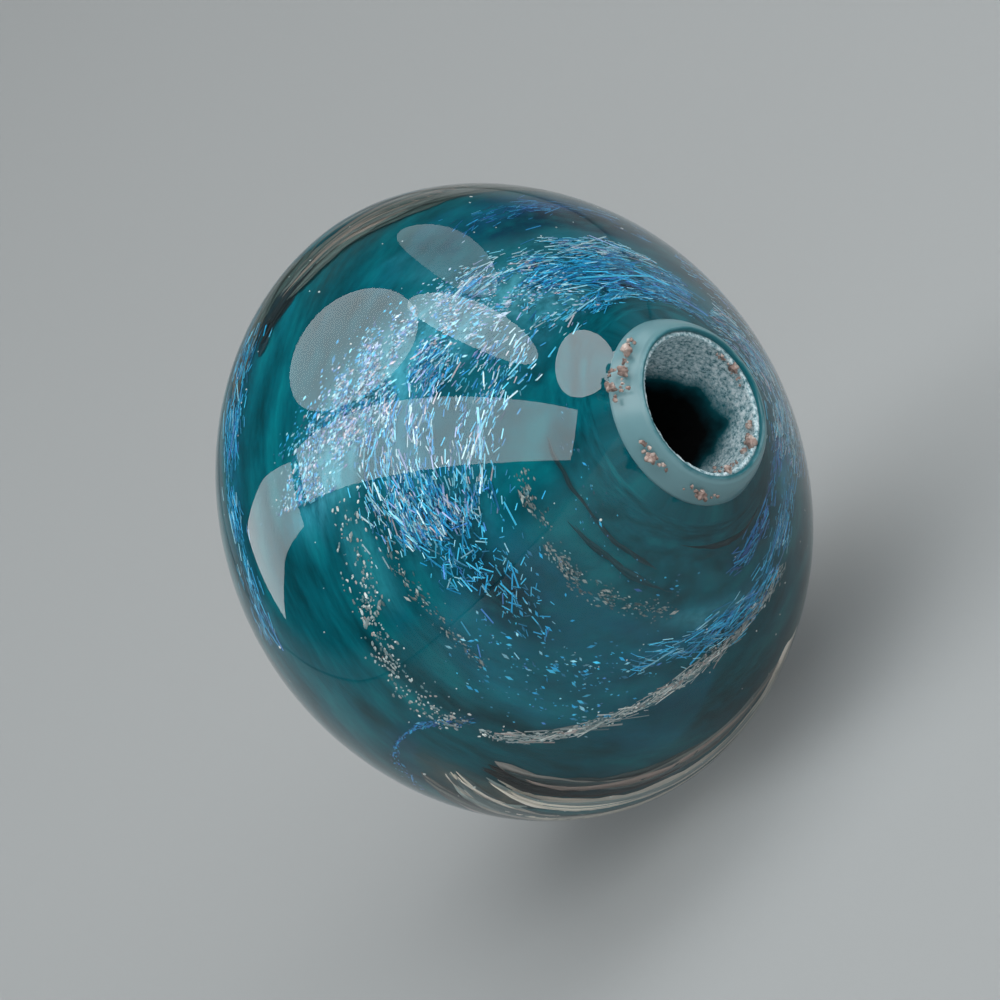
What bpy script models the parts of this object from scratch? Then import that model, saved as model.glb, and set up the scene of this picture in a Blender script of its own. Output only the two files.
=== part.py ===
"""A torch-wound glass bead, lying on its side with its bore along +X.

The bead is wound on a coated steel mandrel: a teal footprint tube, three teal wraps that make the
core, ribbons of dichroic glass and beige foil and strands laid on the core, a clear casing over all
of it and a rolled lip at each end of the bore. A thin coat of release clay stays in the bore, and
crumbs of it on the lip at the mouth. Every piece is turned or laid round its own +Z, the bore axis,
and one empty at the middle of the bore lays them all on their side: +Z becomes the world's +X.
"""

import math
import random

import bmesh
import bpy
from mathutils import Matrix

MM = 0.001

# Bore: the mandrel's diameter and the release coat that stays behind when it is pulled out.
MANDREL_DIAMETER = 3.2 * MM
COAT_WALL = 0.07 * MM
COAT_RECESS = 0.25 * MM
FOOTPRINT_WALL = 0.35 * MM

# Outer form: a turned superellipse, a little pointier than an ellipse at its equator.
EQUATOR_RADIUS = 7.5 * MM
SHOULDER_HALF_LENGTH = 6.28 * MM
FORM_EXPONENT = 1.8

# Clear casing over the core, thicker at the equator than at the ends.
CASING_WALL_EQUATOR = 1.3 * MM
CASING_WALL_END = 0.83 * MM

# Middle wrap of the core: half of its length along the bore.
MIDDLE_WRAP_HALF = 1.8 * MM

# Rolled lips round the mouths of the bore: each is a short cone with a narrow flat crest.
LIP_RISE = 0.58 * MM
LIP_OVERHANG = 0.12 * MM
LIP_FOOT_EDGE = 0.1 * MM
LIP_LAND = 0.12 * MM
LIP_MOUTH_ROUND = 0.1 * MM

# Strips on the core.
RIBBON_THICKNESS = 0.2 * MM
STRAND_THICKNESS = 0.14 * MM
STRIP_END_WIDTH = 0.3

# Gap kept where two pieces are fused in the real bead.
FUSION_GAP = 0.05 * MM

# Crumbs of release clay on the lip at the mouth.
CRUMB_RADIUS = 0.13 * MM
CRUMB_SEED = 7

# Facets.
ROUND_STEPS = 40
PROFILE_STEP = math.radians(7.5)
ALONG_STEP = math.radians(9.0)
ACROSS_STEP = math.radians(8.0)
FILLET_STEPS = 3
SMOOTH_ANGLE = math.radians(40.0)

BORE_RADIUS = MANDREL_DIAMETER / 2 + COAT_WALL + FUSION_GAP
FOOTPRINT_RADIUS = BORE_RADIUS + FOOTPRINT_WALL
EYE_RADIUS = FOOTPRINT_RADIUS + FUSION_GAP
CORE_RADIUS = EQUATOR_RADIUS - CASING_WALL_EQUATOR
CORE_HALF_LENGTH = SHOULDER_HALF_LENGTH - CASING_WALL_END

# How far the front meridian is rolled up from -Y towards the top, with the bead on its side.
FRONT_ROLL = math.radians(27.0)

# Strips: azimuth is counted round the bore from the front meridian, positive downwards in front,
# and colatitude from the mouth end (0) past the equator (90) to the far end. Swell bends the
# middle of the strip away from a straight lay. All in degrees.
RIBBONS = (
    dict(name="shoulder_ribbon_front", azimuth=(-80, 40), colatitude=(43, 53), swell=6, half_width=14),
    dict(name="shoulder_ribbon_over", azimuth=(-160, -86), colatitude=(36, 38), swell=0, half_width=8),
    dict(name="shoulder_ribbon_under", azimuth=(46, 120), colatitude=(52, 34), swell=0, half_width=4.5),
    dict(name="shoulder_ribbon_rear", azimuth=(126, 194), colatitude=(38, 42), swell=4, half_width=8),
    dict(name="waist_ribbon_front", azimuth=(-70, 30), colatitude=(106, 106), swell=4, half_width=9),
    dict(name="waist_ribbon_rear", azimuth=(110, 232), colatitude=(112, 108), swell=6, half_width=9),
    dict(name="far_end_ribbon", azimuth=(-110, 64), colatitude=(138, 140), swell=4, half_width=7),
)
FOILS = (
    dict(name="foil_top", azimuth=(-126, -48), colatitude=(84, 88), swell=0, half_width=9),
    dict(name="foil_under", azimuth=(48, 120), colatitude=(88, 84), swell=0, half_width=11),
    dict(name="foil_rear", azimuth=(140, 216), colatitude=(76, 82), swell=0, half_width=7),
)
STRANDS = (
    dict(name="strand_front", azimuth=(-36, 30), colatitude=(77, 82), swell=0, half_width=1.8),
    dict(name="strand_under", azimuth=(44, 116), colatitude=(78, 45), swell=-8, half_width=1.8),
)

# Crumbs: azimuth in degrees, and the part of the lip they cling to.
CRUMBS = (
    (-32, "foot"),
    (-40, "flank"),
    (-55, "flank"),
    (-166, "mouth"),
    (126, "mouth"),
    (84, "mouth"),
    (54, "flank"),
    (14, "flank"),
)


def clear_scene():
    for item in list(bpy.data.objects):
        bpy.data.objects.remove(item, do_unlink=True)


def make_material(name, colour, roughness, metallic=0.0, transmission=0.0):
    material = bpy.data.materials.new(name)
    material.use_nodes = True
    shader = material.node_tree.nodes["Principled BSDF"]
    shader.inputs["Base Color"].default_value = (*colour, 1.0)
    shader.inputs["Roughness"].default_value = roughness
    shader.inputs["Metallic"].default_value = metallic
    shader.inputs["Transmission Weight"].default_value = transmission
    return material


def make_lay():
    """Empty that lays the bead on its side: the bore axis to +X, the front meridian up from -Y."""
    lay = bpy.data.objects.new("bead_lay", None)
    lay.matrix_world = Matrix.Rotation(math.pi / 2, 4, "Y") @ Matrix.Rotation(-FRONT_ROLL, 4, "Z")
    bpy.context.scene.collection.objects.link(lay)
    return lay


def finish(bm, name, material):
    """Turns the bmesh into an object with smooth round faces and one material, on the bead's axis."""
    bm.normal_update()
    bmesh.ops.recalc_face_normals(bm, faces=bm.faces)
    mesh = bpy.data.meshes.new(name)
    bm.to_mesh(mesh)
    bm.free()
    mesh.shade_smooth()
    mesh.set_sharp_from_angle(angle=SMOOTH_ANGLE)
    mesh.materials.append(material)
    item = bpy.data.objects.new(name, mesh)
    item.parent = bpy.data.objects["bead_lay"]
    bpy.context.scene.collection.objects.link(item)
    return item


def turned(name, outline, material):
    """Spins a closed outline of (radius, height) points round the bore axis."""
    bm = bmesh.new()
    points = [bm.verts.new((radius, 0.0, height)) for radius, height in outline]
    edges = [bm.edges.new((point, points[i - 1])) for i, point in enumerate(points)]
    bmesh.ops.spin(
        bm,
        geom=points + edges,
        cent=(0, 0, 0),
        axis=(0, 0, 1),
        angle=math.tau,
        steps=ROUND_STEPS,
        use_merge=True,
    )
    return finish(bm, name, material)


def form_point(angle, radius, half_length, offset=0.0):
    """(radius, height) on the superellipse at this colatitude, moved outwards by offset."""
    power = 2 / FORM_EXPONENT
    across = math.sin(angle) ** power
    along = math.copysign(abs(math.cos(angle)) ** power, math.cos(angle))
    slope_r = across ** (FORM_EXPONENT - 1) / radius
    slope_z = math.copysign(abs(along) ** (FORM_EXPONENT - 1), along) / half_length
    length = math.hypot(slope_r, slope_z)
    return (
        radius * across + offset * slope_r / length,
        half_length * along + offset * slope_z / length,
    )


def form_angle(test, low=1e-4, high=math.pi / 2):
    """Colatitude between low and high at which test changes from false to true."""
    for _ in range(50):
        middle = (low + high) / 2
        if test(middle):
            high = middle
        else:
            low = middle
    return high


def form_arc(start, end, radius, half_length, offset=0.0):
    """Points of the form from one colatitude to another, in equal steps."""
    count = max(2, math.ceil(abs(end - start) / PROFILE_STEP))
    return [
        form_point(start + (end - start) * i / count, radius, half_length, offset)
        for i in range(count + 1)
    ]


def angle_at_radius(wanted, radius, half_length, offset=0.0):
    return form_angle(lambda angle: form_point(angle, radius, half_length, offset)[0] > wanted)


def angle_at_height(wanted, radius, half_length, offset=0.0):
    return form_angle(lambda angle: form_point(angle, radius, half_length, offset)[1] < wanted)


def fillet(centre_r, centre_z, radius, start, end):
    """Quarter-round of an outline, between two directions in degrees from +radius towards +Z."""
    turns = [math.radians(start + (end - start) * i / FILLET_STEPS) for i in range(FILLET_STEPS + 1)]
    return [(centre_r + radius * math.cos(a), centre_z + radius * math.sin(a)) for a in turns]


def casing_edge_height():
    """Height of the clear casing's edge, where it meets the footprint tube."""
    angle = angle_at_radius(EYE_RADIUS, EQUATOR_RADIUS, SHOULDER_HALF_LENGTH)
    return form_point(angle, EQUATOR_RADIUS, SHOULDER_HALF_LENGTH)[1]


def lip_seat_height():
    return casing_edge_height() + FUSION_GAP


def lip_crest_height():
    return lip_seat_height() + LIP_RISE


def lip_flank():
    """Foot and top of the lip's sloping outer wall, as (radius, height)."""
    foot = (FOOTPRINT_RADIUS + LIP_OVERHANG, lip_seat_height() + LIP_FOOT_EDGE)
    return foot, (BORE_RADIUS + LIP_MOUTH_ROUND + LIP_LAND, lip_crest_height())


def build_coat(material):
    """Sleeve of release clay left on the wall of the bore, short of the lips' crests."""
    inner = MANDREL_DIAMETER / 2
    outer = inner + COAT_WALL
    top = lip_crest_height() - COAT_RECESS - LIP_MOUTH_ROUND
    return turned("release_coat", [(outer, top), (outer, -top), (inner, -top), (inner, top)], material)


def build_footprint(material):
    """First wrap of glass on the mandrel: a straight tube through the whole bead."""
    top = casing_edge_height()
    outline = [(FOOTPRINT_RADIUS, top), (FOOTPRINT_RADIUS, -top), (BORE_RADIUS, -top), (BORE_RADIUS, top)]
    return turned("core_footprint", outline, material)


def build_core(material):
    """Three wraps side by side round the footprint, melted to one rounded form."""
    eye = angle_at_radius(EYE_RADIUS, CORE_RADIUS, CORE_HALF_LENGTH)
    end_face = MIDDLE_WRAP_HALF + FUSION_GAP
    joint = angle_at_height(end_face, CORE_RADIUS, CORE_HALF_LENGTH)
    middle = angle_at_height(MIDDLE_WRAP_HALF, CORE_RADIUS, CORE_HALF_LENGTH)
    end = form_arc(eye, joint, CORE_RADIUS, CORE_HALF_LENGTH) + [(EYE_RADIUS, end_face)]
    belt = form_arc(middle, math.pi - middle, CORE_RADIUS, CORE_HALF_LENGTH)
    belt += [(EYE_RADIUS, -MIDDLE_WRAP_HALF), (EYE_RADIUS, MIDDLE_WRAP_HALF)]
    turned("core_wrap_mouth", end, material)
    turned("core_wrap_middle", belt, material)
    turned("core_wrap_far", [(radius, -height) for radius, height in end], material)


def build_lip(name, side, material):
    """Rolled ring round a mouth of the bore, with a narrow flat land on its crest."""
    crest = lip_crest_height()
    foot, top = lip_flank()
    outline = [(BORE_RADIUS, lip_seat_height()), (foot[0], lip_seat_height()), foot, top]
    outline += fillet(BORE_RADIUS + LIP_MOUTH_ROUND, crest - LIP_MOUTH_ROUND, LIP_MOUTH_ROUND, 90, 180)
    return turned(name, [(radius, side * height) for radius, height in outline], material)


def wrapped_strip(name, strip, inner, outer, margin, material):
    """A slab bent onto the core: inner and outer are its distances from the core's surface.

    It is made flat, with x along the strip, y across it and z through it, and then laid round.
    """
    first, last = (math.radians(angle) for angle in strip["azimuth"])
    start, end = (math.radians(angle) for angle in strip["colatitude"])
    half_width = math.radians(strip["half_width"])
    swell = math.radians(strip["swell"])
    along = max(4, math.ceil((last - first) / ALONG_STEP))
    across = max(2, math.ceil(2 * half_width / ACROSS_STEP))
    bm = bmesh.new()
    bmesh.ops.create_grid(bm, x_segments=along, y_segments=across, size=1.0)
    raised = bmesh.ops.extrude_face_region(bm, geom=bm.faces[:])["geom"]
    top = [item for item in raised if isinstance(item, bmesh.types.BMVert)]
    bmesh.ops.translate(bm, verts=top, vec=(0, 0, 1))
    for point in bm.verts:
        place, side, layer = (point.co.x + 1) / 2, point.co.y, point.co.z
        bow = math.sin(math.pi * place)
        width = half_width * (STRIP_END_WIDTH + (1 - STRIP_END_WIDTH) * math.sqrt(bow))
        colatitude = start + (end - start) * place + swell * bow
        colatitude += side * (width + margin / CORE_RADIUS)
        azimuth = first + (last - first) * place + (2 * place - 1) * margin / CORE_RADIUS
        offset = inner + (outer - inner) * layer
        radius, height = form_point(colatitude, CORE_RADIUS, CORE_HALF_LENGTH, offset)
        point.co = (radius * math.sin(azimuth), -radius * math.cos(azimuth), height)
    return finish(bm, name, material)


def build_strips(strips, thickness, materials):
    """Each strip, with the cutter that makes room for it in the casing."""
    cutters = []
    for i, strip in enumerate(strips):
        material = materials[i % len(materials)]
        inner, outer = FUSION_GAP, FUSION_GAP + thickness
        wrapped_strip(strip["name"], strip, inner, outer, 0.0, material)
        cutter = wrapped_strip(
            strip["name"] + "_pocket", strip, -FUSION_GAP, outer + FUSION_GAP, 2 * FUSION_GAP, material
        )
        cutter.hide_render = True
        cutter.display_type = "WIRE"
        cutters.append(cutter)
    return cutters


def build_casing(cutters, material):
    """Clear shell over the core, with a pocket for each strip and an eye at each end."""
    outer_eye = angle_at_radius(EYE_RADIUS, EQUATOR_RADIUS, SHOULDER_HALF_LENGTH)
    inner_eye = angle_at_radius(EYE_RADIUS, CORE_RADIUS, CORE_HALF_LENGTH, FUSION_GAP)
    outline = form_arc(outer_eye, math.pi - outer_eye, EQUATOR_RADIUS, SHOULDER_HALF_LENGTH)
    outline += form_arc(math.pi - inner_eye, inner_eye, CORE_RADIUS, CORE_HALF_LENGTH, FUSION_GAP)
    casing = turned("clear_casing", outline, material)
    for cutter in cutters:
        cut = casing.modifiers.new(cutter.name, "BOOLEAN")
        cut.operation = "DIFFERENCE"
        cut.solver = "EXACT"
        cut.object = cutter
    return casing


def build_crumbs(material):
    """Rough grains of release clay on the lip at the mouth, just clear of its walls and below its crest."""
    rng = random.Random(CRUMB_SEED)
    foot, top = lip_flank()
    run, rise = foot[0] - top[0], top[1] - foot[1]
    slant = math.hypot(run, rise)
    for number, (degrees, side) in enumerate(CRUMBS, start=1):
        size = CRUMB_RADIUS * rng.uniform(0.8, 1.0)
        reach = size + FUSION_GAP
        if side == "foot":
            centre_r = foot[0] + reach
            centre_z = lip_seat_height() + reach
        elif side == "flank":
            centre_r = (foot[0] + top[0]) / 2 + reach * rise / slant
            centre_z = (foot[1] + top[1]) / 2 + reach * run / slant
        else:
            centre_r = BORE_RADIUS - reach
            centre_z = lip_crest_height() - reach
        bm = bmesh.new()
        bmesh.ops.create_icosphere(bm, subdivisions=2, radius=size)
        for point in bm.verts:
            point.co *= rng.uniform(0.8, 1.0)
        azimuth = math.radians(degrees)
        place = (centre_r * math.sin(azimuth), -centre_r * math.cos(azimuth), centre_z)
        bmesh.ops.translate(bm, verts=bm.verts, vec=place)
        finish(bm, f"release_crumb_{number}", material)


def main():
    clear_scene()
    make_lay()
    teal = make_material("teal_glass", (0.006, 0.13, 0.12), 0.05)
    lip_teal = make_material("lip_glass", (0.05, 0.24, 0.23), 0.08)
    clear = make_material("clear_glass", (0.9, 0.97, 0.97), 0.02, transmission=1.0)
    dichroic = make_material("dichroic_glass", (0.06, 0.36, 0.75), 0.2, metallic=0.9)
    foil = make_material("beige_foil", (0.42, 0.36, 0.3), 0.35, metallic=0.5)
    clay = make_material("release_clay", (0.4, 0.45, 0.45), 0.95)
    crumb = make_material("release_crumb_clay", (0.5, 0.38, 0.32), 0.95)
    build_coat(clay)
    build_footprint(teal)
    build_core(teal)
    build_lip("lip_mouth", 1, lip_teal)
    build_lip("lip_far", -1, lip_teal)
    cutters = build_strips(RIBBONS, RIBBON_THICKNESS, [dichroic])
    cutters += build_strips(FOILS, RIBBON_THICKNESS, [foil])
    cutters += build_strips(STRANDS, STRAND_THICKNESS, [foil])
    build_casing(cutters, clear)
    build_crumbs(crumb)


main()
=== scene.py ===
import math
import random

import bmesh
import bpy
import numpy as np
from mathutils import Matrix, Vector, noise


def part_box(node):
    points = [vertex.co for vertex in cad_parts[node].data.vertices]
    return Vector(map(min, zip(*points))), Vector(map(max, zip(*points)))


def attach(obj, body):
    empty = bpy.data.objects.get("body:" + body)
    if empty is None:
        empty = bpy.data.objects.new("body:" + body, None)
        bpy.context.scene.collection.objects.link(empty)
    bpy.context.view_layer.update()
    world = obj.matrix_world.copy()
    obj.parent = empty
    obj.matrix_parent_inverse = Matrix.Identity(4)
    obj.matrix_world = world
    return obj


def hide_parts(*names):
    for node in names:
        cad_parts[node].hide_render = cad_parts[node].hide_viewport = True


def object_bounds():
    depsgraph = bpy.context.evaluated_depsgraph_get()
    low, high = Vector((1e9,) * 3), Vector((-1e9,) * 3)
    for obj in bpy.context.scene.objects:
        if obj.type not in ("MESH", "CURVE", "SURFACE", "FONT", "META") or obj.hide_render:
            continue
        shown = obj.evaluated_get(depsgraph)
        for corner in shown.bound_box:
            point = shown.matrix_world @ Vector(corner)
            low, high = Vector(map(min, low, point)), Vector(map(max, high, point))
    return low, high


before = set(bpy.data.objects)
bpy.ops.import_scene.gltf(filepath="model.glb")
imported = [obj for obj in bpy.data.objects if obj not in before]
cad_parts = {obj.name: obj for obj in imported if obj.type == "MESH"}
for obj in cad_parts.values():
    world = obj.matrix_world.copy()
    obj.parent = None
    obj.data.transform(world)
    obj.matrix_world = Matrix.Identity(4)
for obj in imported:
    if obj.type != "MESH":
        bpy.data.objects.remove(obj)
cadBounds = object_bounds()
mm = 0.001

# The bead is worked out upright, its bore along z, and laid on its side at the end
bead = {
    "formExponent": 1.8,  # of the turned outline: 2 would be an ellipse
    "coreExponent": 1.8,
    "frontRoll": 27.0,  # degrees that the front meridian is rolled up from -Y
    "gap": 0.05 * mm,  # that the CAD leaves round the footprint tube, and the glass here laps over
    "skin": 0.02 * mm,  # small step between surfaces that are fused together
}
layMatrix = Matrix.Rotation(math.pi / 2, 4, "Y") @ Matrix.Rotation(-math.radians(bead["frontRoll"]), 4, "Z")


def boxRadius(node):
    low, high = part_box(node)
    return (high.z - low.z) / 2


def boxReach(node):
    low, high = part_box(node)
    return max(abs(low.x), abs(high.x))


def halfLengthOf(radius, edgeRadius, edgeHeight, exponent):
    return edgeHeight / (1 - (edgeRadius / radius) ** exponent) ** (1 / exponent)


glassRadius = boxRadius("clear_casing")
footprintRadius = boxRadius("core_footprint")
eyeRadius = footprintRadius + bead["gap"]
glassHalfLength = halfLengthOf(glassRadius, eyeRadius, boxReach("clear_casing"), bead["formExponent"])
glassForm = (glassRadius, glassHalfLength, bead["formExponent"])
coreRadius = boxRadius("core_wrap_middle")
coreHalfLength = halfLengthOf(coreRadius, eyeRadius, boxReach("core_wrap_mouth"), bead["coreExponent"])
coreForm = (coreRadius, coreHalfLength, bead["coreExponent"])
lipRadius = boxRadius("lip_mouth")
lipCrest = boxReach("lip_mouth")
coatRadius = boxRadius("release_coat")
print("glass", glassRadius, glassHalfLength, "core", coreRadius, coreHalfLength)


def hexColour(code):
    parts = [int(code[i : i + 2], 16) / 255 for i in (1, 3, 5)]
    return [p / 12.92 if p <= 0.04045 else ((p + 0.055) / 1.055) ** 2.4 for p in parts] + [1.0]


def addNode(tree, kind, inputs=None, **settings):
    # each input is a socket to link from or a value
    item = tree.nodes.new(kind)
    for key, value in settings.items():
        setattr(item, key, value)
    for key, value in (inputs or {}).items():
        if isinstance(value, bpy.types.NodeSocket):
            tree.links.new(value, item.inputs[key])
        else:
            item.inputs[key].default_value = value
    return item


def addNoise(tree, spot, scale, detail, roughness=0.5):
    inputs = {"Vector": spot, "Scale": scale, "Detail": detail, "Roughness": roughness}
    return addNode(tree, "ShaderNodeTexNoise", inputs).outputs["Fac"]


def addMath(tree, operation, *values):
    return addNode(tree, "ShaderNodeMath", dict(enumerate(values)), operation=operation).outputs["Value"]


def addRange(tree, value, ends, results=(0.0, 1.0), **settings):
    # value moved from between ends to between results
    inputs = {"Value": value, "From Min": ends[0], "From Max": ends[1]}
    inputs.update({"To Min": results[0], "To Max": results[1]})
    return addNode(tree, "ShaderNodeMapRange", inputs, **settings).outputs["Result"]


def addRamp(tree, value, stops):
    # each stop is its place and a colour code
    item = addNode(tree, "ShaderNodeValToRGB", {"Fac": value})
    ramp = item.color_ramp
    while len(ramp.elements) < len(stops):
        ramp.elements.new(0.5)
    for element, (place, code) in zip(ramp.elements, stops):
        element.position = place
        element.color = hexColour(code)
    return item.outputs["Color"]


def addMix(tree, share, first, second):
    # the node's own sockets: 0 is the share, 6 and 7 the colours, and output 2 the mixed colour
    return addNode(tree, "ShaderNodeMix", {0: share, 6: first, 7: second}, data_type="RGBA").outputs[2]


def newMaterial(name, values):
    # values go to the inputs of its shader
    material = bpy.data.materials.new(name)
    material.use_nodes = True
    shader = material.node_tree.nodes["Principled BSDF"]
    for key, value in values.items():
        shader.inputs[key].default_value = value
    return material


def colourBy(material, socket):
    tree = material.node_tree
    tree.links.new(socket, tree.nodes["Principled BSDF"].inputs["Base Color"])


def tintedMaterial(name, values):
    # coloured by the tint of each point
    material = newMaterial(name, values)
    tint = addNode(material.node_tree, "ShaderNodeAttribute", attribute_name="tint")
    colourBy(material, tint.outputs["Color"])
    return material


def formPoint(colatitude, radius, halfLength, exponent, lift=0.0):
    # (distance from the bore axis, height) on the turned form, lifted along its normal
    power = 2 / exponent
    across = max(math.sin(colatitude), 0.0) ** power
    along = math.copysign(abs(math.cos(colatitude)) ** power, math.cos(colatitude))
    slopeR = across ** (exponent - 1) / radius
    slopeZ = math.copysign(abs(along) ** (exponent - 1), along) / halfLength
    length = math.hypot(slopeR, slopeZ)
    return radius * across + lift * slopeR / length, halfLength * along + lift * slopeZ / length


def corePoint(azimuth, colatitude, lift=0.0):
    # azimuth and colatitude in degrees, azimuth from the front meridian
    r, h = formPoint(math.radians(colatitude), *coreForm, lift)
    turn = math.radians(azimuth)
    return Vector((r * math.sin(turn), -r * math.cos(turn), h))


def angleAtRadius(wanted, radius, halfLength, exponent):
    low, high = 1e-4, math.pi / 2
    for _ in range(40):
        middle = (low + high) / 2
        if formPoint(middle, radius, halfLength, exponent)[0] > wanted:
            high = middle
        else:
            low = middle
    return high


def ringAngles(radius, form, rings):
    # colatitudes of the rings, from where the form is this far from the bore axis to the same at the far end
    eye = angleAtRadius(radius, *form)
    return [eye + (math.pi - 2 * eye) * i / rings for i in range(rings + 1)]


def spin(outline, steps):
    # a closed outline of (radius, height) points turned round the bore
    bm = bmesh.new()
    points = [bm.verts.new((r, 0.0, h)) for r, h in outline]
    edges = [bm.edges.new((point, points[i - 1])) for i, point in enumerate(points)]
    bmesh.ops.spin(
        bm, geom=points + edges, cent=(0, 0, 0), axis=(0, 0, 1), angle=math.tau, steps=steps, use_merge=True
    )
    bm.normal_update()
    bmesh.ops.recalc_face_normals(bm, faces=bm.faces)
    return bm


def layDown(mesh, name, material, nodes, smooth=True):
    # the finished mesh, laid on its side, as a piece of the bead
    mesh.transform(layMatrix)
    if smooth:
        mesh.shade_smooth()
    mesh.materials.append(material)
    piece = bpy.data.objects.new(name, mesh)
    bpy.context.scene.collection.objects.link(piece)
    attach(piece, "root")
    if nodes:
        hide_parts(*nodes)
    return piece


def toMesh(bm, name):
    mesh = bpy.data.meshes.new(name)
    bm.to_mesh(mesh)
    bm.free()
    return mesh


# Where the camera stands round the upright bead
view = {
    "distance": 0.15,
    "fromBore": 45.3,  # degrees between the bore and the line to the camera
    "boreTilt": 27.6,  # degrees of the bore above the view's right
    "lens": 237.7,
    "aimRight": -0.38 * mm,
    "aimUp": 0.0,
}


def makeCamera():
    off, tilt = math.radians(view["fromBore"]), math.radians(view["boreTilt"])
    toCamera = Vector((0, -math.sin(off), math.cos(off)))
    along = Vector((0, math.cos(off), math.sin(off)))
    side = toCamera.cross(along)
    right = along * math.cos(tilt) - side * math.sin(tilt)
    up = along * math.sin(tilt) + side * math.cos(tilt)
    place = toCamera * view["distance"] + right * view["aimRight"] + up * view["aimUp"]
    turn = Matrix((right, up, toCamera)).transposed().to_4x4()
    camera = bpy.data.objects.new("camera", bpy.data.cameras.new("camera"))
    camera.data.lens = view["lens"]
    camera.data.clip_start = 0.01
    camera.matrix_world = layMatrix @ Matrix.Translation(place) @ turn
    bpy.context.scene.collection.objects.link(camera)
    bpy.context.scene.camera = camera


# Softboxes round the table. Each reaches from one direction to another, given as azimuth from -Y
# towards +X and elevation, and is so many degrees wide. glow is its brightness.
lampDistance = 0.30
lamps = (
    {"name": "overhead", "ends": ((120, 60), (250, 70)), "wide": 40, "round": True, "glow": 3.1},
    {"name": "rightLens", "ends": ((150, 57), (112, 29)), "wide": 15, "round": True, "glow": 3.4},
    {"name": "rightSmall", "ends": ((104, 17), (132, 15)), "wide": 15, "round": True, "glow": 4.6},
    {"name": "frontStrip", "ends": ((-28, 62), (93, 10)), "wide": 24, "round": False, "glow": 3.2},
    {"name": "leftStrip", "ends": ((-32, 56), (-80, 14)), "wide": 22, "round": False, "glow": 3.2},
    {"name": "rearWeak", "ends": ((193, 30), (140, 40)), "wide": 15, "round": True, "glow": 1.1},
    {"name": "lowFill", "ends": ((24, 7), (50, 7)), "wide": 10, "round": True, "glow": 11.0, "seen": False},
)


def directionOf(azimuth, elevation):
    azimuth, elevation = math.radians(azimuth), math.radians(elevation)
    level = math.cos(elevation)
    return Vector((math.sin(azimuth) * level, -math.cos(azimuth) * level, math.sin(elevation)))


def makeLamps():
    for lamp in lamps:
        first, second = (directionOf(*end) for end in lamp["ends"])
        away = (first + second).normalized()
        along = (second - first).normalized()
        data = bpy.data.lights.new(lamp["name"], "AREA")
        data.shape = "ELLIPSE" if lamp["round"] else "RECTANGLE"
        data.size = 2 * lampDistance * math.tan(first.angle(second) / 2)
        data.size_y = 2 * lampDistance * math.tan(math.radians(lamp["wide"] / 2))
        area = data.size * data.size_y * (math.pi / 4 if lamp["round"] else 1)
        data.energy = lamp["glow"] * math.pi * area
        item = bpy.data.objects.new(lamp["name"], data)
        turn = Matrix((along, away.cross(along), away)).transposed().to_4x4()
        item.matrix_world = Matrix.Translation(away * lampDistance) @ turn
        item.visible_camera = False
        item.visible_glossy = lamp.get("seen", True)
        bpy.context.scene.collection.objects.link(item)


room = {
    "floor": "#95999A",
    "floorSize": 0.8,
    "air": "#C9CED0",
    "airStrength": 0.10,
    "horizon": 0.5,  # strength of the air where it meets the floor
    "haze": 0.2,  # height at which it has faded, as the sine of the elevation
}


def makeRoom():
    bm = bmesh.new()
    bmesh.ops.create_grid(bm, x_segments=1, y_segments=1, size=room["floorSize"] / 2)
    bmesh.ops.translate(bm, verts=bm.verts, vec=(0, 0, cadBounds[0][2]))
    floor = bpy.data.objects.new("floor", toMesh(bm, "floor"))
    paper = newMaterial("paperFloor", {"Base Color": hexColour(room["floor"]), "Roughness": 0.9})
    floor.data.materials.append(paper)
    bpy.context.scene.collection.objects.link(floor)
    world = bpy.data.worlds.new("studio")
    world.use_nodes = True
    tree = world.node_tree
    spot = addNode(tree, "ShaderNodeTexCoord").outputs["Generated"]
    height = addNode(tree, "ShaderNodeSeparateXYZ", {"Vector": spot}).outputs["Z"]
    strengths = (room["horizon"], room["airStrength"])
    fade = addRange(tree, height, (0.0, room["haze"]), strengths, interpolation_type="SMOOTHSTEP")
    background = tree.nodes["Background"]
    background.inputs["Color"].default_value = hexColour(room["air"])
    tree.links.new(fade, background.inputs["Strength"])
    bpy.context.scene.world = world
    bpy.context.scene.view_settings.view_transform = "Standard"


makeCamera()
makeLamps()
makeRoom()
print("camera, lamps and floor are in place")

# Tints of the flakes and how often each comes; the coating's thickness sets the colour of each flake
mixes = {
    "ice": (
        ("#C4E8F2", 4),
        ("#84D6EC", 5),
        ("#42BCE4", 5),
        ("#A2B6E2", 2),
        ("#C6C0C8", 1),
        ("#2292D0", 4),
        ("#0E6894", 2),
    ),
    "lilac": (
        ("#C2D6EA", 4),
        ("#A0DAE8", 5),
        ("#94A6DC", 2),
        ("#62BEDC", 5),
        ("#CABEC4", 1),
        ("#3A9AD2", 3),
        ("#10748E", 2),
    ),
    "azure": (("#42C8F2", 5), ("#1EA8DE", 6), ("#9CE2F8", 2), ("#4C93E0", 1), ("#117FA8", 4)),
    "cyan": (("#2FB4E0", 5), ("#1590C6", 6), ("#8AD6EE", 1), ("#3A78C4", 1), ("#0B6488", 5), ("#064A62", 4)),
    "blue": (("#1B86C4", 5), ("#2BA6D8", 4), ("#2F6EC0", 1), ("#0F5C94", 4), ("#5CB0D0", 1), ("#08405E", 3)),
    "tan": (("#8D9592", 4), ("#707C7C", 4), ("#AFB6B2", 2), ("#4E6266", 3), ("#5E8E98", 2)),
    "pearl": (("#B4C0BF", 4), ("#93A3A4", 4), ("#D2D6D2", 2), ("#A79C98", 1), ("#5E7C80", 3)),
}
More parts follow.
